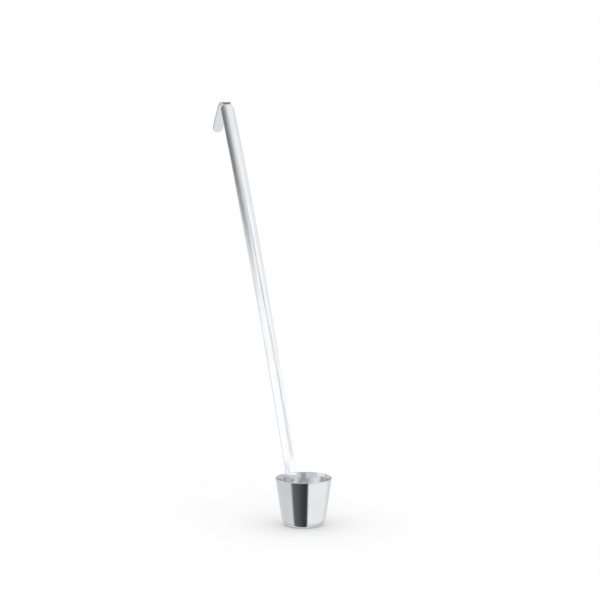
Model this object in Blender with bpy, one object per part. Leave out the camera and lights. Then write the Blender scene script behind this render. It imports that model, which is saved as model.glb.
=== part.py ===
"""Syrup ladle of sheet stainless steel: a small drawn cup on a long strip handle with a hook.

Metres, +Z up along the cup's axis, origin at the centre of the cup's flat base.
The handle is welded to the back of the cup and rises away from it toward +Y.
"""
import math

import bmesh
import bpy
from mathutils import Matrix, Vector

MM = 0.001
DEG = math.pi / 180.0

# Cup, outside sizes
CUP_HEIGHT = 35.5 * MM
CUP_RIM_RADIUS = 21.1 * MM        # where the straight wall would meet the rim plane
CUP_BASE_RADIUS = 15.8 * MM       # where the straight wall would meet the base plane
CUP_CORNER_RADIUS = 6.0 * MM
CUP_SHEET = 0.8 * MM
LIP_HEIGHT = 3.0 * MM             # length of wall that curls outward below the rim
LIP_CURVE_RADIUS = 11.0 * MM

# Handle, one pressed strip
HANDLE_SHEET = 1.5 * MM
FOOT_DROP = 20.0 * MM             # foot end below the rim, along the wall
FOOT_WIDTH = 9.5 * MM
NECK_DROP = 4.0 * MM              # start of the neck bend below the rim, along the wall
NECK_RADIUS = 22.0 * MM
NECK_WIDTH = 8.2 * MM
STEM_LENGTH = 297.7 * MM
STEM_LEAN_LOW = 19.5 * DEG        # from the vertical, just above the cup
STEM_LEAN_HIGH = 26.2 * DEG       # from the vertical, just below the hook
GRIP_WIDTH = 12.0 * MM
GRIP_START = 190.0 * MM           # stem length over which the strip widens
STEM_CROWN_RADIUS = 40.0 * MM     # slight round of the strip just above the cup
GRIP_CROWN_RADIUS = 12.5 * MM     # full round of the strip across the grip
HOLLOW_FADE = 20.0 * MM           # length over which the hollow of the foot runs out
CROWN_FADE = 4.0 * MM             # length over which the crown flattens into the hook
SHOULDER_LENGTH = 4.0 * MM

# Hook at the top of the handle
HOOK_INNER_RADIUS = 5.1 * MM
HOOK_WIDTH = 7.6 * MM
TONGUE_LENGTH = 22.8 * MM
TONGUE_WIDTH = 8.8 * MM
TONGUE_SPLAY = 27.5 * DEG         # from the vertical, away from the handle
TIP_HALF_ANGLE = 70.0 * DEG       # half the arc that rounds each end of the strip

# Spot welds between the foot and the cup wall
WELD_DROP_UPPER = 6.0 * MM        # below the rim, along the wall
WELD_PITCH = 7.5 * MM
NUGGET_RADIUS = 2.0 * MM
NUGGET_HALF_THICKNESS = 0.5 * MM

# Fits
SEAT_GAP = 0.3 * MM               # foot to cup wall
NUGGET_CLEARANCE = 0.12 * MM      # nugget to the pockets in both sheets
EDGE_ROUND = 0.3 * MM             # broken edge all round the strip

# Mesh fineness
CUP_STEPS = 64
CORNER_STEPS = 7
LIP_STEPS = 4
EDGE_STEPS = 4
STRIP_COLUMNS = 12

WALL_LEAN = math.atan2(CUP_RIM_RADIUS - CUP_BASE_RADIUS, CUP_HEIGHT)
STEEL = (0.74, 0.74, 0.73, 1.0)
NUGGET_GREY = (0.46, 0.44, 0.42, 1.0)


def clear_scene():
    for old in list(bpy.data.objects):
        bpy.data.objects.remove(old, do_unlink=True)


def metal(name, colour, roughness):
    material = bpy.data.materials.new(name)
    material.use_nodes = True
    shader = material.node_tree.nodes["Principled BSDF"]
    shader.inputs["Base Color"].default_value = colour
    shader.inputs["Metallic"].default_value = 1.0
    shader.inputs["Roughness"].default_value = roughness
    return material


def add_object(name, bm, material):
    mesh = bpy.data.meshes.new(name)
    bm.to_mesh(mesh)
    bm.free()
    mesh.polygons.foreach_set("use_smooth", [True] * len(mesh.polygons))
    mesh.set_sharp_from_angle(angle=40.0 * DEG)
    made = bpy.data.objects.new(name, mesh)
    made.data.materials.append(material)
    bpy.context.collection.objects.link(made)
    return made


def smooth(value):
    """Ease from 0 to 1 with level ends."""
    value = min(max(value, 0.0), 1.0)
    return value * value * (3.0 - 2.0 * value)


def mix(first, second, share):
    return first + (second - first) * share


# Cup
def wall_radius(height):
    """Outside radius of the straight wall at a height above the base."""
    return CUP_BASE_RADIUS + height * math.tan(WALL_LEAN)


def cup_skin():
    """Outside of the cup from the base centre to the lip, as points with outward normals."""
    turn = math.pi / 2 - WALL_LEAN
    flat = CUP_BASE_RADIUS - CUP_CORNER_RADIUS * math.tan(turn / 2)
    skin = [((0.0, 0.0), -math.pi / 2)]
    for step in range(CORNER_STEPS + 1):
        angle = -math.pi / 2 + turn * step / CORNER_STEPS
        point = (flat + CUP_CORNER_RADIUS * math.cos(angle), CUP_CORNER_RADIUS * (1.0 + math.sin(angle)))
        skin.append((point, angle))
    # The lip is an arc that leaves the wall and ends where its rounded edge reaches the full height
    low = CUP_HEIGHT - LIP_HEIGHT
    reach = LIP_HEIGHT - CUP_SHEET / 2 + LIP_CURVE_RADIUS * math.sin(WALL_LEAN)
    end = math.asin(reach / (LIP_CURVE_RADIUS + CUP_SHEET / 2))
    for step in range(LIP_STEPS + 1):
        angle = mix(WALL_LEAN, end, step / LIP_STEPS)
        radius = wall_radius(low) + LIP_CURVE_RADIUS * (math.cos(WALL_LEAN) - math.cos(angle))
        height = low + LIP_CURVE_RADIUS * (math.sin(angle) - math.sin(WALL_LEAN))
        skin.append(((radius, height), -angle))
    return skin


def cup_outline():
    """Closed half section of the cup: down the outside, across the base, up the inside."""
    skin = cup_skin()
    outside = [point for point, angle in skin]
    inside = []
    for (radius, height), angle in skin:
        depth = CUP_SHEET if radius > 0.0 else 0.0
        rise = CUP_SHEET if radius == 0.0 else -CUP_SHEET * math.sin(angle)
        inside.append((radius - depth * math.cos(angle), height + rise))
    (radius, height), angle = skin[-1]
    half = CUP_SHEET / 2
    middle = (radius - half * math.cos(angle), height - half * math.sin(angle))
    edge = []
    for step in range(1, EDGE_STEPS):
        around = angle + math.pi - math.pi * step / EDGE_STEPS
        edge.append((middle[0] + half * math.cos(around), middle[1] + half * math.sin(around)))
    return outside[::-1] + inside + edge


def build_cup(material):
    bm = bmesh.new()
    ring = [bm.verts.new((radius, 0.0, height)) for radius, height in cup_outline()]
    edges = [bm.edges.new(pair) for pair in zip(ring, ring[1:] + ring[:1])]
    axis_edge = [edge for edge in edges if edge.verts[0].co.x == 0.0 and edge.verts[1].co.x == 0.0]
    for edge in axis_edge:
        edges.remove(edge)
        bm.edges.remove(edge)
    bmesh.ops.spin(bm, geom=ring + edges, cent=(0, 0, 0), axis=(0, 0, 1), angle=2 * math.pi,
                   steps=CUP_STEPS, use_merge=True)
    bmesh.ops.remove_doubles(bm, verts=bm.verts, dist=0.00001)
    bmesh.ops.recalc_face_normals(bm, faces=bm.faces)
    return add_object("cup", bm, material)


# Handle
def wall_point(drop):
    """Point of the foot's front face at a distance below the rim, along the wall."""
    radius = CUP_RIM_RADIUS - drop * math.sin(WALL_LEAN) + SEAT_GAP * math.cos(WALL_LEAN)
    height = CUP_HEIGHT - drop * math.cos(WALL_LEAN) - SEAT_GAP * math.sin(WALL_LEAN)
    return radius, height


def handle_runs():
    """Runs of the strip from foot to tip: length, and lean from the vertical at both ends."""
    hook_radius = HOOK_INNER_RADIUS + HANDLE_SHEET
    tongue_lean = math.pi - TONGUE_SPLAY
    return {
        "foot": (FOOT_DROP - NECK_DROP, WALL_LEAN, WALL_LEAN),
        "neck": (NECK_RADIUS * (STEM_LEAN_LOW - WALL_LEAN), WALL_LEAN, STEM_LEAN_LOW),
        "stem": (STEM_LENGTH, STEM_LEAN_LOW, STEM_LEAN_HIGH),
        "hook": (hook_radius * (tongue_lean - STEM_LEAN_HIGH), STEM_LEAN_HIGH, tongue_lean),
        "tongue": (TONGUE_LENGTH, tongue_lean, tongue_lean),
    }


RUNS = handle_runs()


def run_start(name):
    """Distance along the strip at which a run begins."""
    total = 0.0
    for key, (length, low, high) in RUNS.items():
        if key == name:
            break
        total += length
    return total


STRIP_LENGTH = sum(length for length, low, high in RUNS.values())


def strip_frame(along):
    """Front centre line of the strip: y, z and lean at a distance from the foot end."""
    y, z = wall_point(FOOT_DROP)
    lean = WALL_LEAN
    for length, low, high in RUNS.values():
        part = min(max(along, 0.0), length)
        lean = mix(low, high, part / length)
        chord = part
        half_turn = (lean - low) / 2
        if half_turn > 0.0:
            chord = part * math.sin(half_turn) / half_turn
        y += chord * math.sin(low + half_turn)
        z += chord * math.cos(low + half_turn)
        along -= part
        if along <= 0.0:
            break
    return y, z, lean


def strip_width(along):
    neck = run_start("neck")
    stem = run_start("stem")
    hook = run_start("hook")
    tongue = run_start("tongue")
    if along < stem:
        return mix(FOOT_WIDTH, NECK_WIDTH, smooth((along - neck) / (stem - neck)))
    if along < tongue:
        width = mix(NECK_WIDTH, GRIP_WIDTH, min((along - stem) / GRIP_START, 1.0))
        # Both shoulders draw in where the hook begins
        return mix(width, HOOK_WIDTH, smooth((along - hook) / SHOULDER_LENGTH + 0.4))
    return mix(HOOK_WIDTH, TONGUE_WIDTH, smooth(2.0 * (along - tongue) / TONGUE_LENGTH))


def strip_curve(along):
    """Curvature across the strip: hollow where it fits the cup, crowned along the stem and grip."""
    neck = run_start("neck")
    stem = run_start("stem")
    hook = run_start("hook")
    y, z, lean = strip_frame(min(along, stem))
    hollow = -math.cos(WALL_LEAN) / y * (1.0 - smooth((along - neck) / HOLLOW_FADE))
    crown = mix(1.0 / STEM_CROWN_RADIUS, 1.0 / GRIP_CROWN_RADIUS, smooth((along - stem) / GRIP_START))
    rise = smooth((along - stem) / HOLLOW_FADE)
    return (hollow + rise * crown) * smooth((hook - along) / CROWN_FADE + 0.75)


def strip_point(along, side):
    y, z, lean = strip_frame(along)
    curve = strip_curve(along)
    back = 0.0
    if abs(curve) > 0.0:
        back = (1.0 - math.sqrt(1.0 - (curve * side) ** 2)) / curve
    return Vector((side, y + back * math.cos(lean), z - back * math.sin(lean)))


def end_inset(width, share):
    """How far a rounded strip end falls back at a share of the half width."""
    radius = width / 2 / math.sin(TIP_HALF_ANGLE)
    return radius - math.sqrt(radius ** 2 - (share * width / 2) ** 2)


def strip_stations():
    """Distances along the strip, closer together where it bends or narrows."""
    counts = {"foot": 4, "neck": 4, "stem": 22, "hook": 16, "tongue": 6}
    stations = []
    for name, (length, low, high) in RUNS.items():
        start = run_start(name)
        stations += [start + length * step / counts[name] for step in range(counts[name])]
    stem = run_start("stem")
    hook = run_start("hook")
    stations += [stem + HOLLOW_FADE * step / 5 for step in range(1, 6)]
    stations += [hook - SHOULDER_LENGTH * step / 8 for step in range(1, 5)]
    return sorted(stations)[1:]


def build_handle(material):
    shares = []
    for column in range(STRIP_COLUMNS + 1):
        angle = mix(-TIP_HALF_ANGLE, TIP_HALF_ANGLE, column / STRIP_COLUMNS)
        shares.append(math.sin(angle) / math.sin(TIP_HALF_ANGLE))
    middle = [at for at in strip_stations() if FOOT_WIDTH / 2 < at < STRIP_LENGTH - TONGUE_WIDTH / 2]
    bm = bmesh.new()
    grid = []
    foot_row = []
    tip_row = []
    for share in shares:
        low = end_inset(FOOT_WIDTH, share)
        high = STRIP_LENGTH - end_inset(TONGUE_WIDTH, share)
        foot_row.append(bm.verts.new(strip_point(low, share * FOOT_WIDTH / 2)))
        tip_row.append(bm.verts.new(strip_point(high, share * TONGUE_WIDTH / 2)))
    grid.append(foot_row)
    for along in middle:
        half = strip_width(along) / 2
        grid.append([bm.verts.new(strip_point(along, share * half)) for share in shares])
    grid.append(tip_row)
    for row, above in zip(grid, grid[1:]):
        for column in range(STRIP_COLUMNS):
            bm.faces.new((row[column], row[column + 1], above[column + 1], above[column]))
    handle = add_object("handle", bm, material)
    sheet = handle.modifiers.new("sheet", "SOLIDIFY")
    sheet.thickness = HANDLE_SHEET
    sheet.offset = -1.0
    sheet.use_even_offset = True
    rounding = handle.modifiers.new("broken edge", "BEVEL")
    rounding.width = EDGE_ROUND
    rounding.segments = 2
    rounding.limit_method = "ANGLE"
    rounding.angle_limit = 50.0 * DEG
    return handle


# Spot welds
def weld_place(drop):
    """Frame of a nugget in the middle of the seam, its own Z across the two sheets."""
    y, z = wall_point(drop)
    y -= SEAT_GAP / 2 * math.cos(WALL_LEAN)
    z += SEAT_GAP / 2 * math.sin(WALL_LEAN)
    return Matrix.Translation((0.0, y, z)) @ Matrix.Rotation(-math.pi / 2 - WALL_LEAN, 4, "X")


def build_nugget(name, material, grow):
    bm = bmesh.new()
    bmesh.ops.create_uvsphere(bm, u_segments=16, v_segments=8, radius=1.0)
    across = NUGGET_RADIUS + grow
    bmesh.ops.scale(bm, vec=(across, across, NUGGET_HALF_THICKNESS + grow), verts=bm.verts)
    return add_object(name, bm, material)


def cut_pocket(sheet, cutter):
    pocket = sheet.modifiers.new(cutter.name, "BOOLEAN")
    pocket.operation = "DIFFERENCE"
    pocket.solver = "EXACT"
    pocket.object = cutter


clear_scene()
cup_steel = metal("drawn steel", STEEL, 0.2)
handle_steel = metal("pressed steel", STEEL, 0.22)
weld_metal = metal("weld metal", NUGGET_GREY, 0.5)
cup = build_cup(cup_steel)
handle = build_handle(handle_steel)
for label, drop in (("upper", WELD_DROP_UPPER), ("lower", WELD_DROP_UPPER + WELD_PITCH)):
    nugget = build_nugget("weld_" + label, weld_metal, 0.0)
    nugget.matrix_world = weld_place(drop)
    cutter = build_nugget("pocket_" + label, weld_metal, NUGGET_CLEARANCE)
    cutter.matrix_world = weld_place(drop)
    cutter.hide_render = True
    cutter.display_type = "WIRE"
    cut_pocket(cup, cutter)
    cut_pocket(handle, cutter)
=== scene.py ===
"""Looks of a stainless steel syrup ladle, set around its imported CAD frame."""
import math

import bmesh
import bpy
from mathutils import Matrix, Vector


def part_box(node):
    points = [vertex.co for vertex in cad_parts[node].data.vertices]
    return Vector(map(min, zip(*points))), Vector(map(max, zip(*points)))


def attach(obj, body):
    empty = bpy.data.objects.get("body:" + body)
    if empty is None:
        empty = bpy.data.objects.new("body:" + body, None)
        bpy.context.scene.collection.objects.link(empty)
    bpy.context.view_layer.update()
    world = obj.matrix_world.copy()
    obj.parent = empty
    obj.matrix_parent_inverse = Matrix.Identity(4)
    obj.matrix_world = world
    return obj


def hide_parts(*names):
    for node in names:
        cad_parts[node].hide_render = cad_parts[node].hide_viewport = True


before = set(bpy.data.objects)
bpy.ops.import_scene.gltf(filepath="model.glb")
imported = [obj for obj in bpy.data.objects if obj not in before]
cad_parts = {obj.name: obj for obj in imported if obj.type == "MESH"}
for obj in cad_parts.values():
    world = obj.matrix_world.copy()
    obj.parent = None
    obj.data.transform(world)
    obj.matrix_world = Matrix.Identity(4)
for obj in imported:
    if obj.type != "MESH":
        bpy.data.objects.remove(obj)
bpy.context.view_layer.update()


# Cup: one deep-drawn bowl of thin stainless sheet with a flat base and a tapered wall.
# The draw leaves a rounded lower corner and the trimmed rim is turned out into a small lip.
# It is buffed on a spindle, so its fine polishing lines run round it.
mm = 0.001
cup_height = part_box("cup")[1].z
cup_sheet = 0.8 * mm
wall_top_radius = 21.1 * mm
wall_base_radius = 15.8 * mm
base_corner_radius = 6.0 * mm
lip_drop = 3.0 * mm
lip_bend_radius = 11.0 * mm
rim_edge_round = 0.38 * mm
cup_turns = 256
corner_segments = 16
lip_segments = 8
wall_lean = math.atan2(wall_top_radius - wall_base_radius, cup_height)


def shaded(name, bm):
    """Put a finished bmesh into the scene as a smooth-shaded piece."""
    mesh = bpy.data.meshes.new(name)
    bm.to_mesh(mesh)
    bm.free()
    mesh.polygons.foreach_set("use_smooth", [True] * len(mesh.polygons))
    piece = bpy.data.objects.new(name, mesh)
    bpy.context.scene.collection.objects.link(piece)
    return piece


def sheet_metal(piece, thickness, edge_round):
    """Give a pressed skin its thickness behind its face and break its cut edges."""
    wall = piece.modifiers.new("sheet", "SOLIDIFY")
    wall.thickness = thickness
    wall.offset = -1.0
    wall.use_even_offset = True
    edges = piece.modifiers.new("broken edges", "BEVEL")
    edges.width = edge_round
    edges.segments = 4
    edges.limit_method = "ANGLE"
    edges.angle_limit = math.radians(50)


def fillet(bm, corner, radius, turn, segments):
    """Round a corner of a wire outline that turns through an angle."""
    bmesh.ops.bevel(bm, geom=[corner], offset=radius * math.tan(turn / 2), offset_type="OFFSET",
                    affect="VERTICES", segments=segments, profile=0.5, material=-1)


# The outside of the half section is a wire of four points, rounded and then turned about the axis
lip_lean = math.asin((lip_drop - cup_sheet / 2 + lip_bend_radius * math.sin(wall_lean))
                     / (lip_bend_radius + cup_sheet / 2))
lip_tangent = lip_bend_radius * math.tan((lip_lean - wall_lean) / 2)
knee_height = cup_height - lip_drop + lip_tangent * math.cos(wall_lean)
knee = Vector((wall_base_radius + knee_height * math.tan(wall_lean), 0.0, knee_height))
lip_reach = lip_tangent + cup_sheet / 2
lip_end = knee + lip_reach * Vector((math.sin(lip_lean), 0.0, math.cos(lip_lean)))
bm = bmesh.new()
stations = [bm.verts.new(point) for point in ((0, 0, 0), (wall_base_radius, 0, 0), knee, lip_end)]
for lower, upper in zip(stations, stations[1:]):
    bm.edges.new((lower, upper))
fillet(bm, stations[1], base_corner_radius, math.pi / 2 - wall_lean, corner_segments)
bm.verts.ensure_lookup_table()
lip_corner = min(bm.verts, key=lambda vert: (vert.co - knee).length)
fillet(bm, lip_corner, lip_bend_radius, lip_lean - wall_lean, lip_segments)
bmesh.ops.spin(bm, geom=bm.verts[:] + bm.edges[:], cent=(0, 0, 0), axis=(0, 0, 1), angle=2 * math.pi,
               steps=cup_turns, use_merge=True)
bmesh.ops.remove_doubles(bm, verts=bm.verts, dist=0.001 * mm)
bmesh.ops.recalc_face_normals(bm, faces=bm.faces)
if min(bm.faces, key=lambda face: face.calc_center_median().z).normal.z > 0:
    bmesh.ops.reverse_faces(bm, faces=bm.faces)
cup = shaded("cup_bowl", bm)
sheet_metal(cup, cup_sheet, rim_edge_round)


class Shade:
    """An output of a shader node, so that masks and levels are written as plain arithmetic."""

    def __init__(self, tree, socket=None):
        self.tree = tree
        self.socket = socket

    def node(self, kind, settings=None, inputs=None, output=0):
        """Add a node of any kind: its settings first, then the values or links of its sockets."""
        made = self.tree.nodes.new(kind)
        for name, value in (settings or {}).items():
            setattr(made, name, value)
        for key, value in (inputs or {}).items():
            if isinstance(value, Shade):
                self.tree.links.new(value.socket, made.inputs[key])
            else:
                made.inputs[key].default_value = value
        return Shade(self.tree, made.outputs[output] if made.outputs else None)

    def math(self, operation, *terms):
        return self.node("ShaderNodeMath", {"operation": operation}, dict(enumerate(terms)))

    def __add__(self, other):
        return self.math("ADD", self, other)

    def __sub__(self, other):
        return self.math("SUBTRACT", self, other)

    def __rsub__(self, other):
        return self.math("SUBTRACT", other, self)

    def __mul__(self, other):
        return self.math("MULTIPLY", self, other)

    __radd__ = __add__
    __rmul__ = __mul__

    def rise(self, low, high):
        """Ease from 0 at low to 1 at high."""
        return self.node("ShaderNodeMapRange", {"interpolation_type": "SMOOTHSTEP"},
                         {"Value": self, "From Min": low, "From Max": high})

    def noise(self, vector, scale, detail=2.0, roughness=0.5):
        return self.node("ShaderNodeTexNoise", None, {"Vector": vector, "Scale": scale, "Detail": detail,
                                                      "Roughness": roughness})


def mixed(start, factor, first, second):
    """Blend two colours by a mask."""
    return start.node("ShaderNodeMix", {"data_type": "RGBA"}, {"Factor": factor, 6: first, 7: second}, 2)


def steel(name, colour, roughness):
    """A new metal whose tree is returned for its grain, smudges and marks."""
    material = bpy.data.materials.new(name)
    material.use_nodes = True
    shader = material.node_tree.nodes["Principled BSDF"]
    shader.inputs["Base Color"].default_value = colour
    shader.inputs["Metallic"].default_value = 1.0
    shader.inputs["Roughness"].default_value = roughness
    return material, shader, Shade(material.node_tree)


def feed(material, shader, **sockets):
    """Link shades to sockets of the metal."""
    for name, shade in sockets.items():
        material.node_tree.links.new(shade.socket, shader.inputs[name.replace("_", " ")])


steel_grey = (0.803, 0.832, 0.858, 1.0)
smudge_grey = (0.743, 0.769, 0.793, 1.0)
heat_brown = (0.40, 0.31, 0.22, 1.0)
# weld_shadow darkens the weld marks: the welds' own dark burn together with painted shade in their dents
weld_shadow = (0.16, 0.15, 0.14, 1.0)
weld_drops = (6.0 * mm, 13.5 * mm)


def weld_spot(drop, depth):
    """A weld's place on the wall, at a distance below the rim and a depth behind its outside."""
    radius = wall_top_radius - drop * math.sin(wall_lean) - depth * math.cos(wall_lean)
    height = cup_height - drop * math.cos(wall_lean) + depth * math.sin(wall_lean)
    return Vector((0.0, radius, height))


def nearest_weld(start, place, depth):
    """Distance to the centre of the nearer weld, on a face at a depth behind the wall's outside."""
    distances = [start.node("ShaderNodeVectorMath", {"operation": "DISTANCE"},
                            {0: place, 1: weld_spot(drop, depth)}, "Value") for drop in weld_drops]
    return start.math("MINIMUM", *distances)


# Noise scales of the cup's finish, to the metre, and to the radian round the axis
buffing_across = 2600.0
buffing_around = 1.4
buffing_by_radius = 40.0
scratch_across = 900.0
scratch_around = 9.0
cup_smudges = 90.0
cup_peel = 850.0
material, shader, start = steel("buffed cup steel", steel_grey, 0.13)
place = start.node("ShaderNodeTexCoord", output="Object")
split = start.node("ShaderNodeSeparateXYZ", None, {0: place})
x, y, z = (Shade(start.tree, socket) for socket in split.socket.node.outputs)
around = start.math("ARCTAN2", y, x)
radius = start.math("SQRT", x * x + y * y)
buffing = start.node("ShaderNodeCombineXYZ", None, {
    0: around * buffing_around, 1: (z - radius) * buffing_across, 2: radius * buffing_by_radius})
grain = start.noise(buffing, 1.0, 3.0, 0.6)
smudge = start.noise(place, cup_smudges, 4.0, 0.55).rise(0.42, 0.72)
peel = start.noise(place, cup_peel, 2.0, 0.5)
hairlines = start.node("ShaderNodeCombineXYZ", None, {
    0: around * scratch_around, 1: z * scratch_across, 2: 0.0})
scratches = start.noise(hairlines, 1.0, 1.0).rise(0.68, 0.75)
# The weld dot inside the cup is the weld's own dark mark, with painted shade in its dimple from weld_shadow
nearest = nearest_weld(start, place, cup_sheet)
mark = 1 - nearest.rise(0.6 * mm, 1.5 * mm)
ring = (1 - nearest.rise(1.3 * mm, 2.6 * mm)) * 0.12
colour = mixed(start, smudge * 0.4 + peel * 0.4 + grain * 0.4, steel_grey, smudge_grey)
colour = mixed(start, ring, colour, heat_brown)
colour = mixed(start, mark * 0.5, colour, weld_shadow)
height = peel * 3.0 + grain * 1.5 - scratches - mark * 5.0
bump = start.node("ShaderNodeBump", None, {"Strength": 0.6, "Distance": 0.008 * mm, "Height": height})
feed(material, shader, Base_Color=colour, Normal=bump,
     Roughness=0.08 + grain * 0.08 + smudge * 0.06 + scratches * 0.08 + mark * 0.2)
cup.data.materials.append(material)
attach(cup, "root")
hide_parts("cup")


# Handle: one strip blanked from thicker stainless sheet, crowned along its length and tapered to the cup.
# Its foot is dished to sit on the cup wall, and its top is folded over into an open hook.
# It is belt-polished, so its fine lines run along the strip.
handle_sheet = 1.5 * mm
seat_gap = 0.3 * mm
foot_drop = 20.0 * mm
foot_width = 9.5 * mm
neck_drop = 4.0 * mm
neck_radius = 22.0 * mm
neck_width = 8.2 * mm
stem_length = 297.7 * mm
stem_lean_low = math.radians(19.5)
stem_lean_high = math.radians(26.2)
grip_width = 12.0 * mm
grip_start = 190.0 * mm
stem_crown_radius = 40.0 * mm
grip_crown_radius = 12.5 * mm
shoulder_length = 4.0 * mm
shoulder_lead = 0.4      # share of the shoulder that lies below the bend
dish_fade = 20.0 * mm
crown_fade = 4.5 * mm
crown_lead = 1.1         # shares of the fade left where the bend starts
flat_crown = 0.01        # curvature to the metre that counts as flat
hook_radius = 5.1 * mm + handle_sheet
hook_width = 7.6 * mm
tongue_length = 22.8 * mm
tongue_width = 8.8 * mm
tongue_lean = math.radians(180 - 27.5)
tip_half_angle = math.radians(70)
strip_edge_round = 0.25 * mm
blank_rows = 720
blank_columns = 16

# Bends of the strip from foot to tip: length, and lean from the vertical at both ends
bends = (
    (foot_drop - neck_drop, wall_lean, wall_lean),
    (neck_radius * (stem_lean_low - wall_lean), wall_lean, stem_lean_low),
    (stem_length, stem_lean_low, stem_lean_high),
    (hook_radius * (tongue_lean - stem_lean_high), stem_lean_high, tongue_lean),
    (tongue_length, tongue_lean, tongue_lean),
)
neck_at = bends[0][0]
stem_at = neck_at + bends[1][0]
hook_at = stem_at + stem_length
tongue_at = hook_at + bends[3][0]
strip_length = tongue_at + tongue_length


def ease(share):
    share = min(max(share, 0.0), 1.0)
    return share * share * (3.0 - 2.0 * share)


def between(low, high, share):
    return low + (high - low) * share


def centre_line(along):
    """Front centre of the strip and its lean, at a distance from the foot end."""
    spot = weld_spot(foot_drop, -seat_gap)
    lean = wall_lean
    for length, low, high in bends:
        part = min(along, length)
        if part <= 0:
            break
        lean = between(low, high, part / length)
        half_turn = (lean - low) / 2
        chord = part * math.sin(half_turn) / half_turn if half_turn else part
        spot = spot + chord * Vector((0.0, math.sin(low + half_turn), math.cos(low + half_turn)))
        along -= part
    return spot, lean


def strip_width(along):
    if along < stem_at:
        return between(foot_width, neck_width, ease((along - neck_at) / (stem_at - neck_at)))
    if along < tongue_at:
        width = between(neck_width, grip_width, min((along - stem_at) / grip_start, 1.0))
        return between(width, hook_width, ease((along - hook_at) / shoulder_length + shoulder_lead))
    return between(hook_width, tongue_width, ease(2.0 * (along - tongue_at) / tongue_length))


def strip_crown(along):
    """Curvature across the strip: dished at the foot, crowned up to the grip, flat in the hook."""
    foot_radius = centre_line(min(along, stem_at))[0].y / math.cos(wall_lean)
    dish = -1.0 / foot_radius * (1 - ease((along - neck_at) / dish_fade))
    rise = ease((along - stem_at) / dish_fade)
    toward_grip = ease((along - stem_at) / grip_start)
    crown = rise * between(1.0 / stem_crown_radius, 1.0 / grip_crown_radius, toward_grip)
    return (dish + crown) * ease((hook_at - along) / crown_fade + crown_lead)


def end_inset(width, share):
    """How far a rounded end falls back at a share of the half width."""
    radius = width / 2 / math.sin(tip_half_angle)
    return radius - math.sqrt(radius ** 2 - (share * width / 2) ** 2)


def pressed(blank_x, blank_y):
    """Where a point of the flat blank, from -1 to 1 both ways, comes to lie in the finished strip."""
    share = math.sin(blank_x * tip_half_angle) / math.sin(tip_half_angle)
    along = strip_length * (blank_y + 1) / 2
    along += end_inset(foot_width, share) * ease(1 - along / (2 * foot_width))
    along -= end_inset(tongue_width, share) * ease(1 - (strip_length - along) / (2 * tongue_width))
    spot, lean = centre_line(along)
    side = share * strip_width(along) / 2
    crown = strip_crown(along)
    back = (1 - math.sqrt(1 - (crown * side) ** 2)) / crown if abs(crown) > flat_crown else 0.0
    return spot + Vector((side, back * math.cos(lean), -back * math.sin(lean)))


bm = bmesh.new()
bm.loops.layers.uv.new("strip")
bmesh.ops.create_grid(bm, x_segments=blank_columns, y_segments=blank_rows, size=1.0, calc_uvs=True)
for vert in bm.verts:
    vert.co = pressed(vert.co.x, vert.co.y)
bm.normal_update()
handle = shaded("handle_strip", bm)
sheet_metal(handle, handle_sheet, strip_edge_round)


def stretched(start, across, along):
    """Places on the strip with a count across its width and along its length, so that noise makes lines."""
    strip_map = start.node("ShaderNodeUVMap", {"uv_map": "strip"})
    return start.node("ShaderNodeMapping", None, {"Vector": strip_map, "Scale": (across, along, 1.0)})


# Counts of belt lines and scratches on the strip, and the scale of its smudges to the metre
belt_lines = (42.0, 10.0)
belt_scratches = (24.0, 90.0)
strip_smudges = 70.0
material, shader, start = steel("belt-polished handle steel", steel_grey, 0.13)
place = start.node("ShaderNodeTexCoord", output="Object")
grain = start.noise(stretched(start, *belt_lines), 1.0, 3.0, 0.6).rise(0.3, 0.7)
scratches = start.noise(stretched(start, *belt_scratches), 1.0, 1.0).rise(0.68, 0.75)
smudge = start.noise(place, strip_smudges, 4.0, 0.55).rise(0.42, 0.72)
nearest = nearest_weld(start, place, -seat_gap - handle_sheet)
mark = 1 - nearest.rise(1.7 * mm, 2.0 * mm)
# The thin dark ring of weld_shadow round each electrode dent is painted shade at the dent's edge; the faint
# darkening inside the dent is the weld's own mark with painted shade
rim = (1 - nearest.rise(1.95 * mm, 2.15 * mm)) - mark
ring = (1 - nearest.rise(1.9 * mm, 3.2 * mm)) * 0.3
colour = mixed(start, smudge * 0.3 + grain * 0.7, steel_grey, smudge_grey)
colour = mixed(start, ring, colour, heat_brown)
colour = mixed(start, rim * 0.6 + mark * 0.12, colour, weld_shadow)
height = grain * 1.5 - scratches - mark * 18.0
bump = start.node("ShaderNodeBump", None, {"Strength": 0.6, "Distance": 0.006 * mm, "Height": height})
feed(material, shader, Base_Color=colour, Normal=bump,
     Roughness=0.07 + grain * 0.13 + smudge * 0.05 + scratches * 0.08 + mark * 0.10)
handle.data.materials.append(material)
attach(handle, "root")
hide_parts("handle")


# Spot welds: two buttons of fused steel between the foot and the cup wall.
# They are closed in by both sheets, and only their marks show on the outer faces.
weld_grey = (0.46, 0.44, 0.42, 1.0)
weld_dark = (0.30, 0.28, 0.27, 1.0)
weld_ripples = 1800.0
material, shader, start = steel("fused weld steel", weld_grey, 0.5)
place = start.node("ShaderNodeTexCoord", output="Object")
ripple = start.noise(place, weld_ripples, 3.0, 0.6)
colour = mixed(start, ripple, weld_dark, weld_grey)
bump = start.node("ShaderNodeBump", None, {"Strength": 0.4, "Distance": 0.05 * mm, "Height": ripple})
feed(material, shader, Base_Color=colour, Normal=bump, Roughness=0.4 + ripple * 0.25)
for name in ("weld_upper", "weld_lower"):
    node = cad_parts[name]
    node.data.materials.clear()
    node.data.materials.append(material)


# Studio: a white paper floor inside a soft white light tent, open where the camera looks in.
# The metal shows the tent's pale panels, the dark opening in front and the gaps between panels.
camera_azimuth = math.radians(-26.0)
to_camera = Vector((math.sin(camera_azimuth), -math.cos(camera_azimuth), 0.0))
to_right = Vector((math.cos(camera_azimuth), math.sin(camera_azimuth), 0.0))

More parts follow.
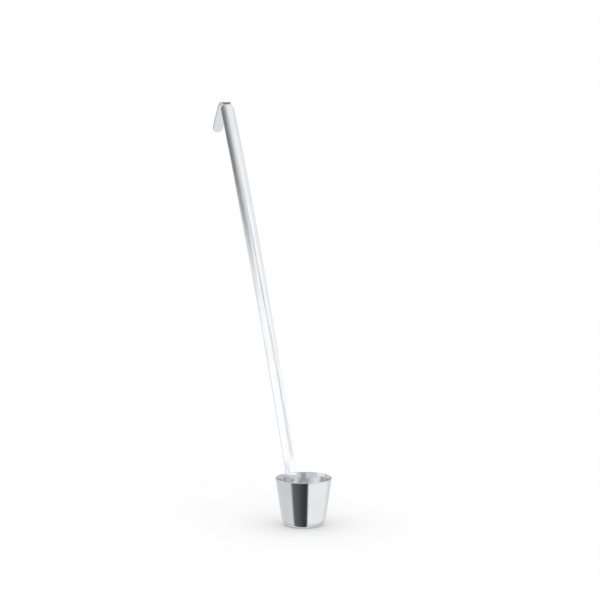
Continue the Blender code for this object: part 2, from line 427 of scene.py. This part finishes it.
floor_half_width = 6.0
floor_mesh = bmesh.new()
bmesh.ops.create_grid(floor_mesh, x_segments=1, y_segments=1, size=floor_half_width)
floor = shaded("studio_floor", floor_mesh)
material = bpy.data.materials.new("white floor")
material.use_nodes = True
start = Shade(material.node_tree)
paper = material.node_tree.nodes["Principled BSDF"]
paper.inputs["Base Color"].default_value = (1.0, 1.0, 1.0, 1.0)
paper.inputs["Roughness"].default_value = 1.0
paper.inputs["Specular IOR Level"].default_value = 0.0
in_metal = start.node("ShaderNodeLightPath", output="Is Glossy Ray")
clear = start.node("ShaderNodeBsdfTransparent")
opaque = Shade(start.tree, paper.outputs[0])
surface = start.node("ShaderNodeMixShader", None, {0: in_metal, 1: opaque, 2: clear})
floor_output = material.node_tree.nodes["Material Output"]
material.node_tree.links.new(surface.socket, floor_output.inputs["Surface"])
floor.data.materials.append(material)

world = bpy.data.worlds.new("light tent")
world.use_nodes = True
bpy.context.scene.world = world
start = Shade(world.node_tree)
direction = start.node("ShaderNodeTexCoord", output="Generated")


def component(axis):
    """The share of a ray's direction that lies along an axis."""
    return start.node("ShaderNodeVectorMath", {"operation": "DOT_PRODUCT"}, {0: direction, 1: axis}, "Value")


# Bearing goes round from the side of the camera, positive to its right; all angles are in degrees.
# The slot's bearing is halfway between a ray and the camera, so the opening shows upright on the cup.
degrees = 180 / math.pi
camera_level_share = 0.98    # level part of the direction from the cup to the camera
bearing = start.math("ARCTAN2", component(to_right), component(to_camera)) * degrees
elevation = start.math("ARCSINE", component(Vector((0.0, 0.0, 1.0)))) * degrees
slot = start.math("ARCTAN2", component(to_right), component(to_camera) + camera_level_share) * degrees
behind = start.math("ABSOLUTE", bearing)


def band(value, low, high, low_soft, high_soft):
    """1 between two limits, with a soft edge of a given half width at each."""
    return (value.rise(low - low_soft, low + low_soft)
            * (1 - value.rise(high - high_soft, high + high_soft)))


# The plain wall of the tent, lighter at the right where it is low
wall_level = 0.70
low_side = 1 - elevation.rise(-16.0, -6.0)
level_side = band(elevation, -5.0, 14.0, 3.0, 4.0)
right_low = band(bearing, 10.0, 128.0, 4.0, 22.0) * (0.26 - 0.14 * (1 - elevation.rise(-55.0, -35.0)))
right_middle = band(bearing, 16.0, 62.0, 6.0, 12.0) * 0.09 - bearing.rise(66.0, 90.0) * 0.09
tent = wall_level + low_side * (0.065 + right_low)
tent = tent + level_side * right_middle

# Pale light boxes in front, at the right and at the left, and a low strip of card at the back left
front_box = band(bearing, -30.0, 30.0, 8.0, 8.0) * elevation.rise(31.0, 35.0)
right_start = bearing + 12.0 * elevation.rise(24.0, 33.0)
right_box = band(right_start, 32.0, 122.0, 6.0, 22.0) * elevation.rise(14.0, 20.0)
right_fall = start.math("MAXIMUM", elevation.rise(34.0, 44.0), bearing.rise(66.0, 88.0))
right_level = 1.28 - 0.24 * right_fall
left_box = band(bearing, -128.0, -60.0, 8.0, 5.0) * elevation.rise(2.0, 20.0)
reflector = band(bearing, -144.0, -112.0, 4.0, 4.0) * band(elevation, -13.5, -4.5, 1.5, 1.1)

# The dark slit and top in front, and the seam of the right box, which draws the line along the handle
slit = band(bearing, -10.0, 12.0, 3.0, 3.0) * band(elevation, -8.0, 30.5, 4.0, 2.5)
top = elevation.rise(37.4, 42.4) * band(bearing, -100.0, 34.0, 20.0, 32.0)
seam_bearing = start.math("MAXIMUM", 47.0 + (48.0 - elevation) * 0.81, 59.2 + (33.0 - elevation) * 1.5)
seam_bearing = start.math("MINIMUM", seam_bearing, 62.0 + (elevation - 25.6) * 0.8)
seam_width = 2.8 + 1.6 * elevation.rise(32.0, 38.0)
seam_offset = start.math("ABSOLUTE", bearing - seam_bearing)
seam = (1 - seam_offset.rise(0.6, seam_width)) * band(elevation, 22.5, 42.0, 2.0, 3.0)

# The back panel with a gap on each side of it, the dark opening toward the camera, and the roof
back_panel = behind.rise(156.0, 168.0)
back_gaps = band(behind, 136.0, 152.0, 6.0, 4.0) * (1 - elevation.rise(-30.0, -22.0))
back_edge = behind.rise(90.0, 120.0) * elevation.rise(-56.0, -44.0)
opening = band(slot, -25.9, 9.6, 2.8, 1.4) * low_side * (1 - back_edge)
opening_level = 0.135 - 0.09 * slot.rise(-24.0, 5.0)
zenith = elevation.rise(62.0, 70.0)
far_top = band(elevation, 26.0, 74.0, 6.0, 4.0) * (1 - band(bearing, -128.0, 135.0, 8.0, 8.0))
far_level = 0.42 - 0.33 * elevation.rise(42.0, 54.0)

# Each panel with its light level, laid over those before it
panels = (
    (front_box, 1.15),
    (right_box, right_level),
    (left_box, 1.05),
    (reflector, 1.28),
    (slit, 0.40),
    (top, 0.19),
    (seam, 0.10),
    (back_panel, 0.95),
    (back_gaps, 0.30),
    (opening, opening_level),
    (zenith, 0.50),
    (far_top, far_level),
)
for mask, level in panels:
    tent = tent + mask * (level - tent)
seen_in_metal = start.node("ShaderNodeLightPath", output="Is Glossy Ray")
background = world.node_tree.nodes["Background"]
background.inputs["Color"].default_value = (1.0, 1.0, 1.0, 1.0)
strength = 1.0 + seen_in_metal * (tent - 1.0)
world.node_tree.links.new(strength.socket, background.inputs["Strength"])


# Camera: a long lens about 1.4 m away, level with the hook and looking down a little.
# It stands 26 degrees round from the front of the cup, as in the photograph.
camera_distance = 1.384
camera_height = 0.3171
camera_pitch = math.radians(6.13)
camera_yaw = math.radians(0.112)
lens_length = 113.3
sensor_width = 36.0
camera_data = bpy.data.cameras.new("camera")
camera_data.lens = lens_length
camera_data.sensor_width = sensor_width
camera = bpy.data.objects.new("camera", camera_data)
bpy.context.scene.collection.objects.link(camera)
camera.location = to_camera * camera_distance + Vector((0.0, 0.0, camera_height))
ahead = -to_camera * math.cos(camera_yaw) - to_right * math.sin(camera_yaw)
aim = ahead * math.cos(camera_pitch) - Vector((0.0, 0.0, math.sin(camera_pitch)))
camera.rotation_euler = aim.to_track_quat("-Z", "Y").to_euler()
bpy.context.scene.camera = camera
bpy.context.scene.view_settings.view_transform = "Standard"
